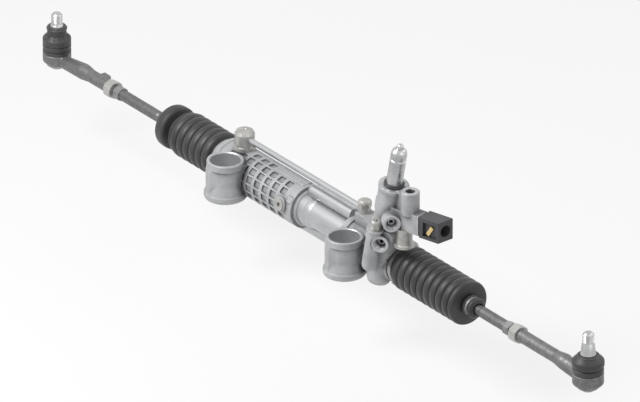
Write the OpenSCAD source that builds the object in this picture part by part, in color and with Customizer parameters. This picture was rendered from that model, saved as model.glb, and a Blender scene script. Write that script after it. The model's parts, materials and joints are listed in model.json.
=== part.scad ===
// Hydraulic power steering rack with tie rods, millimetres, +Z up.
// The rack lies along X. The origin is the bore axis of the mounting eye on the pinion side,
// at the height of the rack axis. Lengths along the rack are given from its middle.

/* [Overall] */
// Distance between the two outer ball joints
joint_span = 1157; // [1120:1:1200]
// Distance between the two inner ball joints
inner_span = 612; // [606:1:620]
// Rack travel from the middle to each stop
rack_travel = 69; // [50:1:70]

/* [Mounting eyes] */
// Middle of the rack to the eye on the pinion side
right_eye_x = 112; // [106:0.5:116]
// Middle of the rack to the eye on the far side
left_eye_x = 148; // [140:0.5:156]
// Rack axis to the eye axes
eye_offset = 40; // [38:0.5:44]
// Bore of each eye
eye_bore_d = 40.6; // [36:0.1:42]
// Outer diameter of the eye rings
eye_outer_d = 49.6; // [48:0.1:54]
// Height of each eye
eye_h = 54; // [44:1:60]
// Thickness of the upper eye ring
eye_ring_h = 9; // [6:0.5:12]

/* [Rack bar] */
// Diameter of the rack bar
rack_d = 26; // [24:0.5:27]
// Module of the rack teeth
tooth_module = 2; // [1.8:0.05:2.05]
// Pressure angle of the teeth
pressure_angle = 25; // [22:0.5:25]
// Number of pinion teeth
pinion_teeth = 8; // [8:1:9]
// Play between the flanks
backlash = 0.25; // [0.15:0.05:0.4]
// Lean of the pinion axis towards the pinion side
pinion_lean = 12.4; // [8:0.2:16]
// Middle of the rack to the pinion axis
pinion_x = 162; // [160:0.5:163]
// Middle of the rack to the piston
piston_x = 59; // [50:1:66]
// Length of the piston
piston_len = 14; // [10:0.5:18]

/* [Cylinder and housings] */
// Bore of the pressure cylinder
cylinder_bore = 36; // [34:0.5:37]
// Outer diameter of the pressure cylinder
cylinder_od = 41; // [40:0.5:43]
// Outer diameter of the cast cylinder housing
case_d = 60; // [56:0.5:62]
// Middle of the rack to the outer end of the cylinder housing
case_end_x = 192; // [188:1:194]
// Middle of the rack to the inner end of the cylinder housing
case_inner_x = 20; // [18:1:24]
// Outer diameter of the gear housing barrel
gear_case_d = 54; // [50:0.5:56]
// Middle of the rack to the inner end of the gear housing
gear_case_x = 80; // [78:1:84]
// Middle of the rack to the outer end of the gear housing
gear_case_end_x = 183; // [181:1:186]
// Length of the spigots that carry the bellows
spigot_len = 12; // [10:0.5:14]
// Diameter of the spigots
spigot_d = 47; // [44:0.5:48]

/* [Cast pockets] */
// Length of each pocket along the rack
pocket_len = 11; // [7:0.5:12]
// Width of each pocket around the housing
pocket_w = 9; // [6:0.2:9.6]
// Depth of the pockets
pocket_depth = 2.6; // [1.5:0.1:4]
// Pitch of the pockets along the rack
pocket_pitch = 17; // [14:0.5:17]
// Angle between the rows of pockets
pocket_step = 23; // [21:0.5:24]

/* [Bellows] */
// Outer diameter of the bellows
bellows_d = 60.6; // [59:0.2:64]
// Depth of the bellows folds
fold_depth = 4.6; // [3:0.2:5]
// Rubber thickness
rubber_t = 1.4; // [1.2:0.1:2]
// Folds of the bellows on the far side
left_folds = 10; // [8:1:11]
// Folds of the bellows on the pinion side
right_folds = 12; // [9:1:13]

/* [Valve] */
// Diameter of the input shaft
input_d = 21.5; // [20:0.1:22]
// Length of the input shaft above the valve housing
input_out = 58; // [50:1:70]
// Outer diameter of the valve housing
valve_d = 39; // [38:0.5:44]
// Height of the gear housing deck along the pinion axis
deck_s = 68; // [66:0.5:70]
// Height of the valve housing
valve_h = 57; // [56:0.5:64]

/* [Tie rods] */
// Diameter of the tie rods
rod_d = 15; // [13:0.5:16]
// Diameter of the inner and outer balls
ball_d = 22; // [20:0.5:23]
// Diameter of the rod end shanks
shank_d = 17.6; // [17:0.2:20]
// Width across flats of the lock nuts
nut_af = 22; // [20:0.5:24]
// Length of the lock nuts
nut_len = 14; // [10:0.5:16]
// Ball to the end of the shank on the far side
left_shank = 118.5; // [110:0.5:122]
// Ball to the end of the shank on the pinion side
right_shank = 141; // [134:0.5:144]
// Outer diameter of the rod end on the far side
left_head_d = 38; // [37:0.5:42]
// Outer diameter of the rod end on the pinion side
right_head_d = 41; // [38:0.5:44]

/* [Hidden] */
$fn = 96;
e = 0.01;
run_gap = 0.08;
tip_gap = 0.25;

rack_r = rack_d / 2;
case_r = case_d / 2;
tube_r = cylinder_od / 2;
bore_r = cylinder_bore / 2;
gear_r = gear_case_d / 2;
spigot_r = spigot_d / 2;
clamp_r = spigot_r + rubber_t;
valve_r = valve_d / 2;
input_r = input_d / 2;
ball_r = ball_d / 2;
rod_r = rod_d / 2;
bellows_r = bellows_d / 2;
eye_bore_r = eye_bore_d / 2;
eye_outer_r = eye_outer_d / 2;

// Bearings and seals along the rack
bush_len = 14;
seal_len = 8;
seat_r = rack_r + 5;
tube_left_x = -(piston_x + rack_travel + piston_len / 2 + 5.5);
oil_way_r = rack_r + 3.5;
tube_right_x = gear_case_x + 12;
bush_left_x = -(case_end_x + spigot_len);
gland_x = gear_case_x - 22;
right_end_x = gear_case_end_x + spigot_len;

// Teeth
pitch = PI * tooth_module;
pinion_pitch_r = tooth_module * pinion_teeth / 2;
pinion_base_r = pinion_pitch_r * cos(pressure_angle);
pinion_tip_r = pinion_pitch_r + 0.95 * tooth_module;
rack_addendum = 0.62 * tooth_module;
rack_dedendum = 0.95 * tooth_module + tip_gap;
pinion_root_r = pinion_pitch_r - rack_addendum - tip_gap;
pitch_line = rack_r - 3.2;
pinion_y = -(pitch_line + pinion_pitch_r);
face_w = 28;
half_teeth = ceil((rack_travel + 12) / pitch);

// Valve stack along the pinion axis
sleeve_s0 = deck_s - 10;
sleeve_len = 42;
sleeve_r = 15.5;
valve_top_s = deck_s + valve_h;
shaft_top_s = valve_top_s + input_out;
stem_r = input_r - 0.75;
seal_lip = 3;
seal_r = 13.5;
shoulder_s = valve_top_s + seal_lip + 0.2;

// Side dependent sizes of the tie rods
inner_x = inner_span / 2;
outer_x = joint_span / 2;
socket_r = 19;
seat_t = 2.5;

// Places things that are given from the middle of the rack
module on_rack() {
    translate([-right_eye_x, eye_offset, 0]) children();
}

// Places things on the leaning pinion axis, measured along it
module on_pinion(s = 0) {
    translate([pinion_x, pinion_y, 0]) rotate([0, pinion_lean, 0]) translate([0, 0, s]) children();
}

// Solid cylinder along X
module rod_x(x0, x1, r) {
    translate([x0, 0, 0]) rotate([0, 90, 0]) cylinder(h = x1 - x0, r = r);
}

// Ring along X
module ring_x(x0, x1, ro, ri) {
    difference() {
        rod_x(x0, x1, ro);
        rod_x(x0 - 1, x1 + 1, ri);
    }
}

// Ring along Z
module ring_z(z0, z1, ro, ri) {
    difference() {
        translate([0, 0, z0]) cylinder(h = z1 - z0, r = ro);
        translate([0, 0, z0 - 1]) cylinder(h = z1 - z0 + 2, r = ri);
    }
}

// Body of revolution along X from [radius, x] points
module spin_x(profile) {
    rotate([0, 90, 0]) rotate_extrude() polygon(profile);
}

// Body of revolution along Z from [radius, z] points
module spin_z(profile) {
    rotate_extrude() polygon(profile);
}

// Chamfered hexagon along X with a round hole
module hex_x(x0, x1, af, hole_r) {
    corner_r = af / sqrt(3);
    bevel = corner_r - af / 2;
    difference() {
        intersection() {
            translate([x0, 0, 0]) rotate([0, 90, 0]) cylinder(h = x1 - x0, r = corner_r, $fn = 6);
            spin_x([[0, x0], [af / 2, x0], [corner_r + e, x0 + bevel], [corner_r + e, x1 - bevel],
                [af / 2, x1], [0, x1]]);
        }
        rod_x(x0 - 1, x1 + 1, hole_r);
    }
}

// Mirrors what is drawn for the pinion side over to the far side
module far_side() {
    mirror([1, 0, 0]) children();
}

// Mounting eyes

eye_low = -30.6;
eye_rise = 6.6;
eye_waist_r = eye_bore_r + 1.8;
eye_post_r = eye_outer_r + 1.2;
eye_flare_r = eye_outer_r + 3.7;
eye_lip = 10;
eye_skirt = 12;
eye_web_w = 2 * eye_bore_r + 2;
window_turn = 53;

// Eye blank standing on z0, with the cast window that lightens its outer wall
module eye_body(x, z0) {
    z1 = z0 + eye_h;
    ring_z0 = z1 - eye_ring_h;
    translate([x, -eye_offset, 0]) difference() {
        spin_z([[0, z0], [eye_flare_r - 3, z0], [eye_flare_r - 0.8, z0 + 1.4], [eye_flare_r, z0 + 4],
            [eye_flare_r, z0 + eye_lip - 1], [eye_post_r, z0 + eye_lip + 2], [eye_post_r, ring_z0 - 4],
            [eye_outer_r, ring_z0 - 1], [eye_outer_r, z1 - 0.8], [eye_outer_r - 0.8, z1], [0, z1]]);
        // one sloping side wall, then all the way round to the web
        intersection() {
            rotate([0, 0, window_turn]) translate([0, 0, z0]) linear_extrude(height = eye_h - eye_ring_h)
                polygon([[-eye_waist_r * 0.54, -eye_waist_r * 0.84], [-eye_flare_r * 1.15, -eye_waist_r * 0.5],
                    [-eye_flare_r * 1.15, -3 * eye_flare_r], [3 * eye_flare_r, -3 * eye_flare_r],
                    [3 * eye_flare_r, 0], [0, 0]]);
            spin_z([[eye_waist_r, z0 + eye_lip + eye_skirt], [eye_flare_r - 2, z0 + eye_lip],
                [eye_flare_r + 5, z0 + eye_lip - 3.5], [eye_flare_r + 5, z1], [eye_waist_r, z1]]);
        }
    }
}

// Through bore of an eye with its lead-in chamfers
module eye_bore(x, z0) {
    z1 = z0 + eye_h;
    translate([x, -eye_offset, 0]) {
        translate([0, 0, z0 - 1]) cylinder(h = eye_h + 2, r = eye_bore_r);
        translate([0, 0, z1 - 1]) cylinder(h = 1 + e, r1 = eye_bore_r, r2 = eye_bore_r + 1);
        translate([0, 0, z0 - e]) cylinder(h = 1 + e, r1 = eye_bore_r + 1, r2 = eye_bore_r);
    }
}

// Cast wall from an eye to the barrel beside it
module eye_web(x, z0, z1, w) {
    translate([x - w / 2, -eye_offset + 5, z0]) cube([w, eye_offset - 9, z1 - z0]);
}

// Cylinder housing

union_x = -160;
union_r = 13.4;
plug_x = -40;
plug_turn = 80;
plug_r = 7.4;
plug_boss_r = 10.5;
pad_x0 = -84;
pad_x1 = -26;
feed_r = 8.6;
feed_top_z = 29;
feed_low_z = -26.5;

// One lightening pocket at angle a from the top towards the front
module pocket(x, a) {
    rotate([a, 0, 0]) translate([x - pocket_len / 2, -pocket_w / 2, case_r - pocket_depth])
        cube([pocket_len, pocket_w, pocket_depth + 3]);
}

// Rows run round the front of the housing and stop short at the pad and the plug boss
module pockets() {
    first_col = -case_end_x + 28;
    cols = floor((case_end_x - case_inner_x - 44) / pocket_pitch) + 1;
    for (row = [0 : 6]) {
        for (col = [0 : cols - 1]) {
            x = first_col + col * pocket_pitch;
            near_pad = row == 0 && x > pad_x0 - pocket_len;
            near_union = row == 0 && x < union_x + union_r + 2;
            near_plug = row > 2 && row < 5 && x > plug_x - plug_boss_r - pocket_len;
            if (!near_pad && !near_plug && !near_union) pocket(x, 1 + row * pocket_step);
        }
    }
}

module left_housing() {
    color("silver") on_rack() difference() {
        union() {
            difference() {
                rod_x(-case_end_x, -case_inner_x, case_r);
                pockets();
            }
            rod_x(-case_end_x, -case_end_x + 6, case_r + 1.2);
            rod_x(-(case_end_x + spigot_len), -case_end_x + 1, spigot_r);
            spin_x([[0, -case_inner_x - 1], [tube_r + 5.5, -case_inner_x - 1],
                [tube_r + 5.5, -case_inner_x + 3], [tube_r + 3.6, -case_inner_x + 5],
                [0, -case_inner_x + 5]]);
            translate([pad_x0, -5, 0]) cube([pad_x1 - pad_x0, 15, case_r + 1]);
            translate([union_x, 0, 0]) cylinder(h = case_r + 1, r = union_r + 1.6);
            translate([plug_x, 0, 0]) rotate([plug_turn, 0, 0]) cylinder(h = case_r + 3, r = plug_boss_r);
            translate([plug_x, 0, 0]) rotate([plug_turn - 21, 0, 0]) translate([plug_boss_r - 1, -4.5, case_r - 4])
                cube([9, 9, 5.4]);
            eye_body(-left_eye_x, eye_low + eye_rise);
            eye_web(-left_eye_x, eye_low + eye_rise + 2, eye_low + eye_rise + eye_h - eye_ring_h + 3, eye_web_w);
            translate([0, 0, feed_low_z]) rod_x(-case_end_x + 12, -case_inner_x, feed_r);
        }
        eye_bore(-left_eye_x, eye_low + eye_rise);
        // cylinder tube, then the seat of the rack bush and seal
        rod_x(tube_left_x, 0, tube_r);
        rod_x(bush_left_x - 1, bush_left_x + bush_len + seal_len, seat_r);
        rod_x(bush_left_x, tube_left_x + 1, oil_way_r);
        // oil way from the union into the bore, and the plug thread
        translate([union_x, 0, 0]) cylinder(h = case_r + 2, r = 4);
        translate([plug_x, 0, 0]) rotate([plug_turn, 0, 0]) translate([0, 0, case_r - 5])
            cylinder(h = 9, r = plug_r);
        // sockets of the feed tubes
        translate([0, 0, feed_low_z]) rod_x(-case_inner_x - 12, 1, feed_r - 2.2);
    }
}

// Steel tubes and the gland between the housings

module cylinder_tube() {
    color("lightgray") on_rack() difference() {
        union() {
            rod_x(tube_left_x, tube_right_x, tube_r);
            spin_x([[0, -case_inner_x + 5], [tube_r + 3, -case_inner_x + 5],
                [tube_r + 3, -case_inner_x + 17], [tube_r + 1.4, -case_inner_x + 19],
                [tube_r + 1.4, -case_inner_x + 24], [tube_r, -case_inner_x + 27], [0, -case_inner_x + 27]]);
        }
        rod_x(tube_left_x - 1, tube_right_x + 1, bore_r);
    }
}

module cylinder_gland() {
    color("gray") on_rack() difference() {
        rod_x(gland_x, gland_x + 18, bore_r);
        rod_x(gland_x - 1, gland_x + 19, rack_r + run_gap);
        rod_x(gland_x - 1, gland_x + 7, seat_r - 1.4);
    }
}

// Return gallery on top of the tube, closed and rounded at its far end
module upper_feed_tube() {
    color("silver") on_rack() difference() {
        translate([0, 0, feed_top_z]) union() {
            rod_x(-case_inner_x + feed_r + 5, gear_case_x, feed_r);
            translate([-case_inner_x + feed_r + 5, 0, 0]) sphere(r = feed_r);
        }
        rod_x(-case_inner_x, gear_case_x + 1, tube_r);
        spin_x([[0, -case_inner_x - 1], [tube_r + 5.5, -case_inner_x - 1],
            [tube_r + 5.5, -case_inner_x + 5], [tube_r + 3, -case_inner_x + 5],
            [tube_r + 3, -case_inner_x + 17], [tube_r + 1.4, -case_inner_x + 19],
            [tube_r + 1.4, -case_inner_x + 24], [tube_r, -case_inner_x + 27], [0, -case_inner_x + 27]]);
    }
}

module lower_feed_tube() {
    color("silver") on_rack() difference() {
        translate([0, 0, feed_low_z]) union() {
            rod_x(-case_inner_x, gear_case_x, feed_r);
            rod_x(-case_inner_x - 12, gear_case_x, feed_r - 2.2);
        }
        rod_x(-case_inner_x - 20, gear_case_x + 1, tube_r);
        spin_x([[0, -case_inner_x - 1], [tube_r + 5.5, -case_inner_x - 1],
            [tube_r + 5.5, -case_inner_x + 3], [tube_r + 3.6, -case_inner_x + 5],
            [tube_r + 3, -case_inner_x + 5],
            [tube_r + 3, -case_inner_x + 17], [tube_r + 1.4, -case_inner_x + 19],
            [tube_r + 1.4, -case_inner_x + 24], [tube_r, -case_inner_x + 27], [0, -case_inner_x + 27]]);
    }
}

// Transfer pipe along the top, from the union to the banjo at the gear housing

pipe_r = 4.1;
pipe_z = 46;
union_top = 57;
banjo_x = gear_case_x + 22;
block_x0 = gear_case_x + 14;
block_top = pipe_z - pipe_r;

module transfer_pipe() {
    color("gainsboro") on_rack() translate([0, 0, pipe_z]) difference() {
        rod_x(union_x + union_r - 1, banjo_x - 7, pipe_r);
        rod_x(union_x, banjo_x, pipe_r - 1.2);
        translate([union_x, 0, -20]) cylinder(h = 40, r = union_r);
        translate([banjo_x, 0, -20]) cylinder(h = 40, r = 8);
    }
}

module transfer_union() {
    base_z = case_r + 1;
    color("silver") on_rack() translate([union_x, 0, 0]) difference() {
        union() {
            spin_z([[0, base_z], [union_r + 1.6, base_z], [union_r + 1.6, base_z + 4],
                [union_r, base_z + 5], [union_r, union_top - 5], [union_r - 2.2, union_top - 1],
                [union_r - 4.5, union_top], [3.4, union_top], [2.6, union_top - 1], [0, union_top - 1]]);
            for (a = [30 : 60 : 330]) {
                rotate([0, 0, a]) translate([union_r - 2, -2.5, base_z + 2]) cube([3.4, 5, 5]);
            }
        }
        translate([0, 0, base_z - 1]) cylinder(h = pipe_z - base_z + 1, r = 4);
        translate([0, 0, pipe_z]) rod_x(0, union_r + 2, pipe_r - 1.2);
    }
}

module banjo_bolt() {
    ring_z0 = block_top;
    ring_z1 = pipe_z + pipe_r;
    color("darkgray") on_rack() translate([banjo_x, 0, 0]) difference() {
        union() {
            translate([0, 0, ring_z0]) cylinder(h = ring_z1 - ring_z0, r = 8);
            translate([0, 0, ring_z1]) cylinder(h = 5, r = 9.2, $fn = 6);
            spin_z([[0, ring_z1 + 5], [9.4, ring_z1 + 5], [9.4, ring_z1 + 6.6], [8.6, ring_z1 + 8.6],
                [6.4, ring_z1 + 10.2], [3.4, ring_z1 + 11], [0, ring_z1 + 11.2]]);
            translate([0, 0, ring_z0 - 14]) cylinder(h = 15, r = 5);
        }
        translate([0, 0, ring_z0 - 15]) cylinder(h = 13, r = 2);
    }
}

module port_plug() {
    color("darkgray") on_rack() translate([plug_x, 0, 0]) rotate([plug_turn, 0, 0]) difference() {
        union() {
            translate([0, 0, case_r - 5]) cylinder(h = 9, r = plug_r);
            translate([0, 0, case_r + 3]) cylinder(h = 2, r = plug_r + 1.2);
        }
        translate([0, 0, case_r + 1]) cylinder(h = 5, r = 3.4, $fn = 6);
    }
}

// Gear housing

riser_x = 7.8;
riser_y = -26.5;
riser_r = 10.5;
riser_s = 11;
pinion_barrel_r = 21;
foot_r = 16.5;
port_r = 8;
port_rim_r = 12;
low_port_turn = -51;
low_port_s = 46;
low_port_out = 34;
high_port_turn = -28;
high_port_at = [199, -31, 78.5];
high_port_out = 12;
yoke_r = 13;
yoke_len = 15;
yoke_barrel_r = yoke_r + 5;
yoke_top = 31;
yoke_front_y = rack_r * 0.45;
cap_s = -26;
bearing_s = 16;
pinion_bore_r = 11.5;
shelf_s = 36;
screw_len = 11;

// Turns a port so that it points out sideways, still level
module port_at(s, turn) {
    on_pinion(s) rotate([0, -pinion_lean, 0]) rotate([0, 0, turn]) rotate([0, 90, 0]) children();
}

module gear_housing() {
    eye_z = eye_low;
    color("silver") on_rack() difference() {
        union() {
            rod_x(gear_case_x, gear_case_end_x, gear_r);
            rod_x(gear_case_x, gear_case_x + 10, gear_r + 2);
            rod_x(gear_case_end_x - 1, right_end_x, spigot_r);
            // pinion barrel and its front riser
            on_pinion() spin_z([[0, cap_s + 2], [foot_r, cap_s + 2], [foot_r, 4],
                [pinion_barrel_r, 20], [pinion_barrel_r, deck_s], [0, deck_s]]);
            on_pinion() translate([riser_x, riser_y, 0]) {
                translate([0, 0, riser_s]) cylinder(h = deck_s - riser_s, r = riser_r);
                spin_z(concat([[0, riser_s - riser_r * sin(76)]],
                    [for (a = [76 : -19 : 0]) [riser_r * cos(a), riser_s - riser_r * sin(a)]], [[0, riser_s + 1]]));
                translate([0, 0, deck_s - 3]) cylinder(h = 3, r = riser_r + 1);
                translate([-7, 0, riser_s]) cube([14, 20, deck_s - riser_s - 6]);
            }
            // lower port
            port_at(low_port_s, low_port_turn) {
                cylinder(h = low_port_out - 5, r1 = port_rim_r + 2, r2 = port_rim_r - 1);
                cylinder(h = low_port_out, r = port_rim_r);
                hull() {
                    translate([0, 0, 12]) cylinder(h = low_port_out - 17, r = port_rim_r - 1, $fn = 32);
                    translate([-5.5, 5.5, 12]) cylinder(h = low_port_out - 17, r = port_rim_r - 1.5, $fn = 32);
                }
            }
            // yoke barrel behind the rack
            translate([pinion_x, 0, 0]) rotate([-90, 0, 0]) cylinder(h = yoke_top, r = yoke_barrel_r);
            // saddle block under the pipe ends
            difference() {
                translate([block_x0, -10, 0]) cube([34, 22, block_top]);
                translate([block_x0 + 18, -11, block_top]) rotate([0, 24, 0]) cube([40, 24, 20]);
            }
            eye_body(right_eye_x, eye_z);
            eye_web(right_eye_x, eye_z + 2, eye_z + eye_h - eye_ring_h + 3, eye_web_w);
            translate([0, 0, feed_low_z]) rod_x(gear_case_x, gear_case_end_x - 8, feed_r);
            // rib from the saddle block down to the riser, and the shelf behind it
            translate([block_x0 + 3, -12, block_top - 19]) rotate([0, 9.4, -18]) translate([0, -2.2, -9])
                cube([60, 4.4, 10]);
            translate([block_x0 + 20, -26, 4]) cube([30, 22, 13]);
            // small lug below the riser
            translate([pinion_x - 17, -gear_r - 1, -17]) cube([8, 12, 7]);
        }
        eye_bore(right_eye_x, eye_z);
        // room for the bellows clamp round the spigot
        ring_x(gear_case_end_x, gear_case_end_x + 60, clamp_r + 4, spigot_r);
        // tube socket, rack clearance and bush seat
        rod_x(gear_case_x - 1, tube_right_x, tube_r);
        rod_x(gear_case_x, right_end_x - bush_len, rack_r + 2);
        rod_x(right_end_x - bush_len - e, right_end_x + 1, seat_r);
        // pinion bore, stepped for its bearings
        on_pinion(cap_s + 1) cylinder(h = -bearing_s - cap_s - 1, r = 12);
        on_pinion(cap_s) cylinder(h = deck_s - cap_s, r = pinion_bore_r);
        on_pinion(shelf_s) cylinder(h = deck_s, r = 17);
        on_pinion(cap_s - 10) cylinder(h = 12, r = foot_r + 2);
        // yoke bore
        translate([pinion_x, 0, 0]) rotate([-90, 0, 0]) cylinder(h = yoke_top + 1, r = yoke_r + run_gap);
        // port, screw and banjo holes
        port_at(low_port_s, low_port_turn) translate([0, 0, low_port_out - 14]) cylinder(h = 15, r = port_r);
        port_at(low_port_s, low_port_turn) translate([0, 0, low_port_out]) cylinder(h = 12, r = port_rim_r);
        port_at(low_port_s, low_port_turn) cylinder(h = low_port_out - 13, r = 3);
        on_pinion() translate([riser_x, riser_y, deck_s - screw_len]) cylinder(h = screw_len + 1, r = 5);
        translate([banjo_x, 0, block_top - 14]) cylinder(h = 15, r = 5);
        translate([0, 0, feed_top_z]) rod_x(gear_case_x - 20, gear_case_x + e, feed_r);
    }
}

module pressure_screw() {
    top = deck_s + 13;
    color("darkgray") on_rack() on_pinion() translate([riser_x, riser_y, 0]) difference() {
        union() {
            translate([0, 0, deck_s - screw_len]) cylinder(h = screw_len + 1, r = 5);
            translate([0, 0, deck_s]) cylinder(h = 2, r = 7.8);
            translate([0, 0, deck_s + 2]) cylinder(h = 5, r = 7.4, $fn = 6);
            spin_z([[0, deck_s + 7], [6.9, deck_s + 7], [6.9, top - 1], [5.9, top], [0, top]]);
        }
        translate([0, 0, top - 3]) cylinder(h = 4, r = 1.6);
    }
}

// Valve housing

boss_x = 220;
boss_y = -15;
boss_r = 12.3;
boss_hole_r = 6.4;
boss_top = 124;
boss_low = 96;
lug_r = 8.5;
lug_h = 16;
lugs = [[-26, 7], [9, 25.5]];
block_turn = 16;
block_x = 209;
block_y = -27;
block_w = 20;
block_z = 68;
block_h = 28;
block_len = 33;
solenoid_x = 213;
solenoid_y = -19;
solenoid_z = 46;
solenoid_r = 10.5;
solenoid_h = block_z + 1.5 - solenoid_z;

// Places things in the frame of the level block beside the valve
module on_block() {
    translate([block_x, block_y, block_z]) rotate([0, 0, block_turn]) children();
}

// Places the upper port, level, at its ball
module at_high_port() {
    translate(high_port_at) rotate([0, 0, high_port_turn]) rotate([0, 90, 0]) children();
}

module valve_housing() {
    color("silver") on_rack() difference() {
        union() {
            on_pinion(deck_s) cylinder(h = valve_h, r = valve_r);
            on_pinion(valve_top_s - 5) cylinder(h = 5, r = valve_r + 0.8);
            translate([boss_x, boss_y, boss_low - 4]) cylinder(h = boss_top - boss_low + 4, r = boss_r);
            translate([boss_x - 22, boss_y - 9, boss_low - 3]) cube([22, 18, boss_top - boss_low - 1]);
            at_high_port() {
                sphere(r = port_rim_r + 0.4);
                cylinder(h = high_port_out, r = port_rim_r - 0.2);
            }
            on_block() translate([-30, 0, 0]) cube([30 + block_len, block_w, block_h]);
            for (p = lugs) {
                on_pinion(deck_s) translate([p[0], p[1], 0]) cylinder(h = lug_h, r = lug_r);
                on_pinion(deck_s) rotate([0, 0, atan2(p[1], p[0])]) translate([0, -6, 0]) cube([24, 12, lug_h - 1.5]);
            }
        }
        // cut level with the deck
        on_pinion(deck_s - 40) translate([-80, -80, 0]) cube([160, 160, 40]);
        on_pinion(deck_s - 1) cylinder(h = sleeve_s0 + sleeve_len - deck_s + 5, r = 17);
        on_pinion(deck_s) cylinder(h = valve_h - 9, r = 16);
        on_pinion(deck_s) cylinder(h = valve_h + 1, r = seal_r);
        translate([boss_x, boss_y, boss_low]) cylinder(h = boss_top - boss_low + 1, r = boss_hole_r);
        // room for the pressure screw
        on_pinion(deck_s - 1) translate([riser_x, riser_y, 0]) cylinder(h = 16, r = 8);
        at_high_port() cylinder(h = high_port_out + 1, r = port_r);
        at_high_port() translate([0, 0, -10]) cylinder(h = 11, r = 3);
        translate([solenoid_x, solenoid_y, solenoid_z]) cylinder(h = solenoid_h, r = solenoid_r);
        for (p = lugs) {
            on_pinion(deck_s) translate([p[0], p[1], -1]) cylinder(h = lug_h + 2, r = 4);
        }
    }
}

module valve_bolts() {
    color("dimgray") on_rack() for (p = lugs) {
        on_pinion(deck_s) translate([p[0], p[1], 0]) difference() {
            union() {
                cylinder(h = lug_h, r = 4);
                translate([0, 0, lug_h]) cylinder(h = 8, r = 6.5);
            }
            translate([0, 0, lug_h + 3]) cylinder(h = 6, r = 3.4, $fn = 6);
        }
    }
}

module solenoid_body() {
    color("gray") on_rack() translate([solenoid_x, solenoid_y, solenoid_z])
        spin_z([[0, -2.6], [solenoid_r + 2.6, -2.6], [solenoid_r + 3.4, -1.8], [solenoid_r + 3.4, -0.6],
            [solenoid_r + 1, 0.4], [solenoid_r, 2], [solenoid_r, solenoid_h], [0, solenoid_h]]);
}

shell_x = block_len + 2;
shell_len = 31;
shell_w = block_w + 4;
end_slope = 13;
socket_hole_r = 8;

module connector_shell() {
    color("dimgray") on_rack() on_block() difference() {
        union() {
            translate([block_len, 1, 1]) cube([3, block_w - 2, block_h - 2]);
            translate([shell_x, -1, -0.5]) linear_extrude(height = block_h + 1)
                polygon([[0, 0], [shell_len, 0], [shell_len + shell_w * tan(end_slope), shell_w], [0, shell_w]]);
        }
        translate([shell_x + shell_len - 17, shell_w / 2 - 1, block_h / 2]) rod_x(0, 30, socket_hole_r);
        translate([shell_x + 6, -2, 3.5]) cube([shell_len - 9, 5, block_h - 8]);
    }
}

module connector_pins() {
    color("gold") on_rack() on_block() {
        for (y = [-3, 3]) {
            translate([shell_x + shell_len - 17, shell_w / 2 - 1 + y - 0.6, block_h / 2 - 1.5]) cube([10, 1.2, 3]);
        }
        // blade seen through the window
        translate([shell_x + 10, 1, 7.5]) rotate([0, 32, 0]) cube([5, 2, 14]);
    }
}

// Rack bar and its supports

module left_bush() {
    color("darkkhaki") on_rack() ring_x(bush_left_x + e, bush_left_x + bush_len, seat_r, rack_r + run_gap);
}

module left_rack_seal() {
    x0 = bush_left_x + bush_len;
    color("dimgray") on_rack() ring_x(x0, x0 + seal_len, seat_r, rack_r + run_gap);
}

module inner_rack_seal() {
    color("dimgray") on_rack() ring_x(gland_x, gland_x + 7, seat_r - 1.4, rack_r + run_gap);
}

module right_bush() {
    color("darkkhaki") on_rack() ring_x(right_end_x - bush_len, right_end_x, seat_r, rack_r + run_gap);
}

// Space between two rack teeth, running parallel to the pinion axis
module tooth_space() {
    at_pitch = pitch / 4 + backlash / 2;
    slope = tan(pressure_angle);
    out = rack_addendum + 1;
    linear_extrude(height = 60, center = true) polygon([
        [-at_pitch - out * slope, -out], [at_pitch + out * slope, -out],
        [at_pitch - rack_dedendum * slope, rack_dedendum],
        [-at_pitch + rack_dedendum * slope, rack_dedendum]]);
}

module rack_bar() {
    thread_r = rack_thread_r;
    half = inner_x - socket_back;
    color("silver") on_rack() difference() {
        union() {
            rod_x(-half, half, rack_r);
            rod_x(-half - rack_thread, half + rack_thread, thread_r);
        }
        // toothed flat on the pinion side
        translate([pinion_x, 0, 0]) rotate([0, pinion_lean, 0]) {
            translate([-half_teeth * pitch, -rack_r - 5, -30])
                cube([2 * half_teeth * pitch, 5 + rack_r - pitch_line - rack_addendum, 60]);
            for (k = [-half_teeth : half_teeth]) {
                translate([k * pitch, -pitch_line, 0]) tooth_space();
            }
        }
        // piston groove
        ring_x(-piston_x - 3, -piston_x + 3, rack_r + 1, rack_r - 1.5);
    }
}

module piston() {
    color("darkgray") on_rack() difference() {
        union() {
            ring_x(-piston_x - piston_len / 2, -piston_x + piston_len / 2, bore_r - 0.6, rack_r);
            ring_x(-piston_x - 3, -piston_x + 3, rack_r + 1, rack_r - 1.5);
        }
        ring_x(-piston_x - 2, -piston_x + 2, bore_r + 1, bore_r - 3);
    }
}

module piston_ring() {
    color("saddlebrown") on_rack() ring_x(-piston_x - 2, -piston_x + 2, bore_r - run_gap, bore_r - 3);
}

// Yoke that presses the rack into the pinion

module yoke() {
    back_y = yoke_front_y + yoke_len;
    color("darkkhaki") on_rack() difference() {
        translate([pinion_x, yoke_front_y, 0]) rotate([-90, 0, 0]) cylinder(h = yoke_len, r = yoke_r);
        rod_x(pinion_x - 20, pinion_x + 20, rack_r + run_gap);
        translate([pinion_x, back_y - 6, 0]) rotate([-90, 0, 0]) cylinder(h = 7, r = 9);
    }
}

// Point on the wire centre line of a coil spring
function coil_point(t, turns, r, h) = [r * cos(360 * turns * t), r * sin(360 * turns * t), h * t];

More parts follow.
